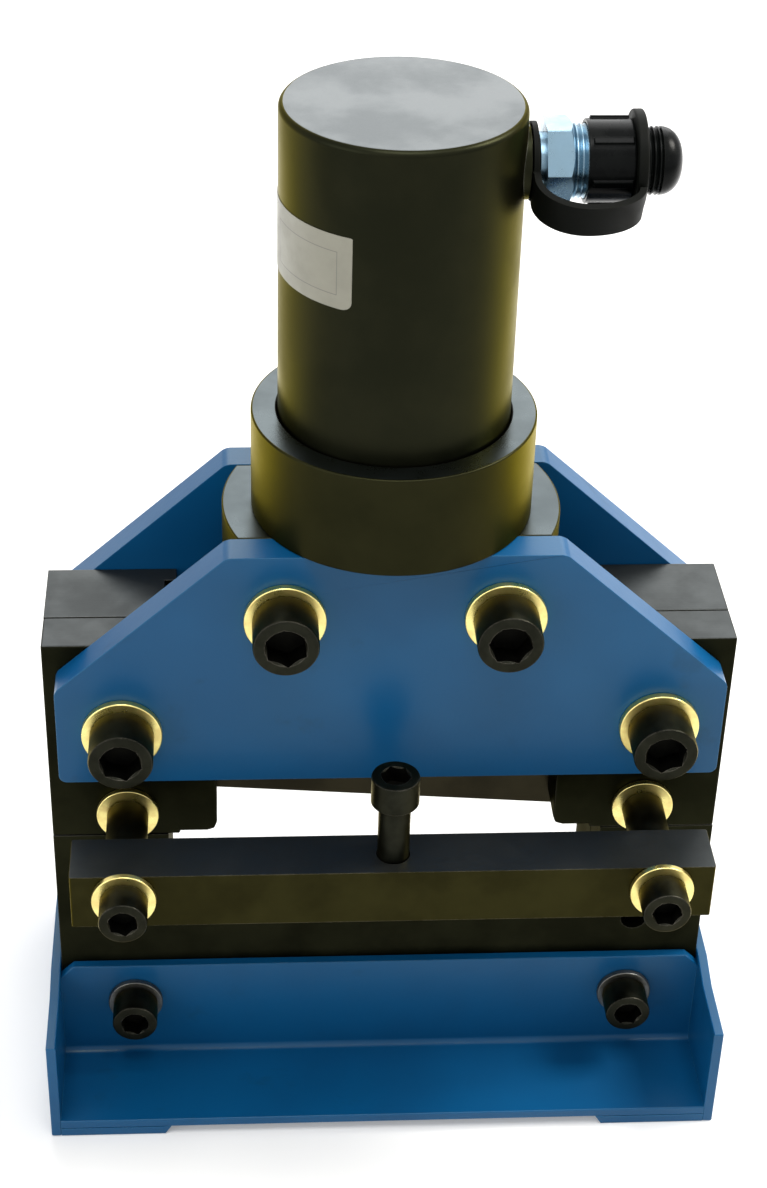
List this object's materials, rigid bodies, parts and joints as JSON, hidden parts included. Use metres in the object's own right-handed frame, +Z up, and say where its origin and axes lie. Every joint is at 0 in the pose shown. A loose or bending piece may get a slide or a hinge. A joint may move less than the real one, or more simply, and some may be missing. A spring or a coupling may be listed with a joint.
{
  "type": "busbar processing machine",
  "caption": "Bench-top hydraulic busbar cutter: a single-acting cylinder over two clamped plates drives a slanted shear blade past a fixed blade.",
  "frame": {"origin": "middle of the part's outline, on the surface that it stands on", "axes": "+Z up along the ram, -Y towards the operator, +X towards the oil coupler"},
  "size_m": [0.2686, 0.1614, 0.412],
  "materials": {
    "blue_paint": "gloss",
    "black_oxide_steel": "black oxide, oiled",
    "black_screw_steel": "black oxide",
    "yellow_zinc": "yellow passivated",
    "blade_steel": "ground",
    "bright_steel": "ground",
    "bronze": "turned",
    "bright_zinc": "bright zinc",
    "seal_rubber": "moulded",
    "black_plastic": "moulded"
  },
  "bodies": {
    "frame": {"base_front_angle": "blue_paint", "base_rear_angle": "blue_paint", "base_left_end_plate": "blue_paint", "base_right_end_plate": "blue_paint", "left_foot_strip": "blue_paint", "right_foot_strip": "blue_paint", "front_plate": "blue_paint", "rear_plate": "blue_paint", "left_rear_post": "black_oxide_steel", "right_rear_post": "black_oxide_steel", "left_front_guide": "black_oxide_steel", "right_front_guide": "black_oxide_steel", "lower_blade_carrier": "black_oxide_steel", "cylinder_flange": "black_oxide_steel", "cylinder_collar": "black_oxide_steel", "cylinder_barrel": "black_oxide_steel", "hold_down_bar": "black_oxide_steel", "front_upper_screw_left": "black_screw_steel", "front_upper_screw_right": "black_screw_steel", "front_lower_screw_left": "black_screw_steel", "front_lower_screw_right": "black_screw_steel", "rear_upper_screw_left": "black_screw_steel", "rear_upper_screw_right": "black_screw_steel", "rear_lower_screw_left": "black_screw_steel", "rear_lower_screw_right": "black_screw_steel", "base_front_screw_left": "black_screw_steel", "base_front_screw_right": "black_screw_steel", "base_rear_screw_left": "black_screw_steel", "base_rear_screw_right": "black_screw_steel", "bar_screw_left": "black_screw_steel", "bar_screw_right": "black_screw_steel", "bar_sleeve_left": "black_screw_steel", "bar_sleeve_right": "black_screw_steel", "lower_blade_screw_left": "black_screw_steel", "lower_blade_screw_right": "black_screw_steel", "front_upper_washer_left": "yellow_zinc", "front_upper_washer_right": "yellow_zinc", "front_lower_washer_left": "yellow_zinc", "front_lower_washer_right": "yellow_zinc", "bar_washer_left": "yellow_zinc", "bar_washer_right": "yellow_zinc", "sleeve_washer_left": "yellow_zinc", "sleeve_washer_right": "yellow_zinc", "lower_blade": "blade_steel", "return_spring": "bright_steel", "rod_bush": "bronze", "coupler_nipple": "bright_zinc", "dust_strap": "black_plastic"},
    "ram_head": {"ram": "bright_steel", "piston_seal": "seal_rubber", "ram_pin": "bright_steel", "blade_holder": "black_oxide_steel", "upper_blade": "blade_steel", "upper_blade_screw_left": "black_screw_steel", "upper_blade_screw_right": "black_screw_steel"},
    "hold_down_foot": {"hold_down_pad": "black_screw_steel"},
    "hold_down_thread": {"hold_down_screw": "black_screw_steel"},
    "coupler_ring": {"coupler_sleeve": "black_plastic"},
    "plug_eye": {"dust_plug_eye": "black_plastic"},
    "plug": {"dust_plug": "black_plastic"}
  },
  "joints": [
    {"name": "ram_slide", "type": "slide", "parent": "frame", "child": "ram_head", "axis": [0, 0, -1], "range_m": [0, 0.036], "stiffness_N_per_m": 9000, "springref_m": -0.03, "deforming": ["return_spring"]},
    {"name": "hold_down_feed", "type": "slide", "parent": "frame", "child": "hold_down_foot", "axis": [0, 0, -1], "range_m": [0, 0.0166]},
    {"name": "hold_down_turn", "type": "hinge", "parent": "hold_down_foot", "child": "hold_down_thread", "pos_m": [0, -0.05485, 0.141], "axis": [0, 0, -1], "range_deg": [0, 3420]},
    {"name": "coupler_sleeve_turn", "type": "hinge", "parent": "frame", "child": "coupler_ring", "pos_m": [0.07, 0.01015, 0.3907], "axis": [1, 0, 0], "continuous": true},
    {"name": "dust_plug_pull", "type": "slide", "parent": "frame", "child": "plug_eye", "axis": [1, 0, 0], "range_m": [0, 0.007]},
    {"name": "dust_plug_turn", "type": "hinge", "parent": "plug_eye", "child": "plug", "pos_m": [0.085, 0.01015, 0.3907], "axis": [1, 0, 0], "range_deg": [0, 1405]}
  ],
  "couplings": [
    {"joint": "hold_down_turn", "follows": "hold_down_feed", "rad_per_m": 3590.4},
    {"joint": "dust_plug_turn", "follows": "dust_plug_pull", "rad_per_m": 3490.7}
  ]
}
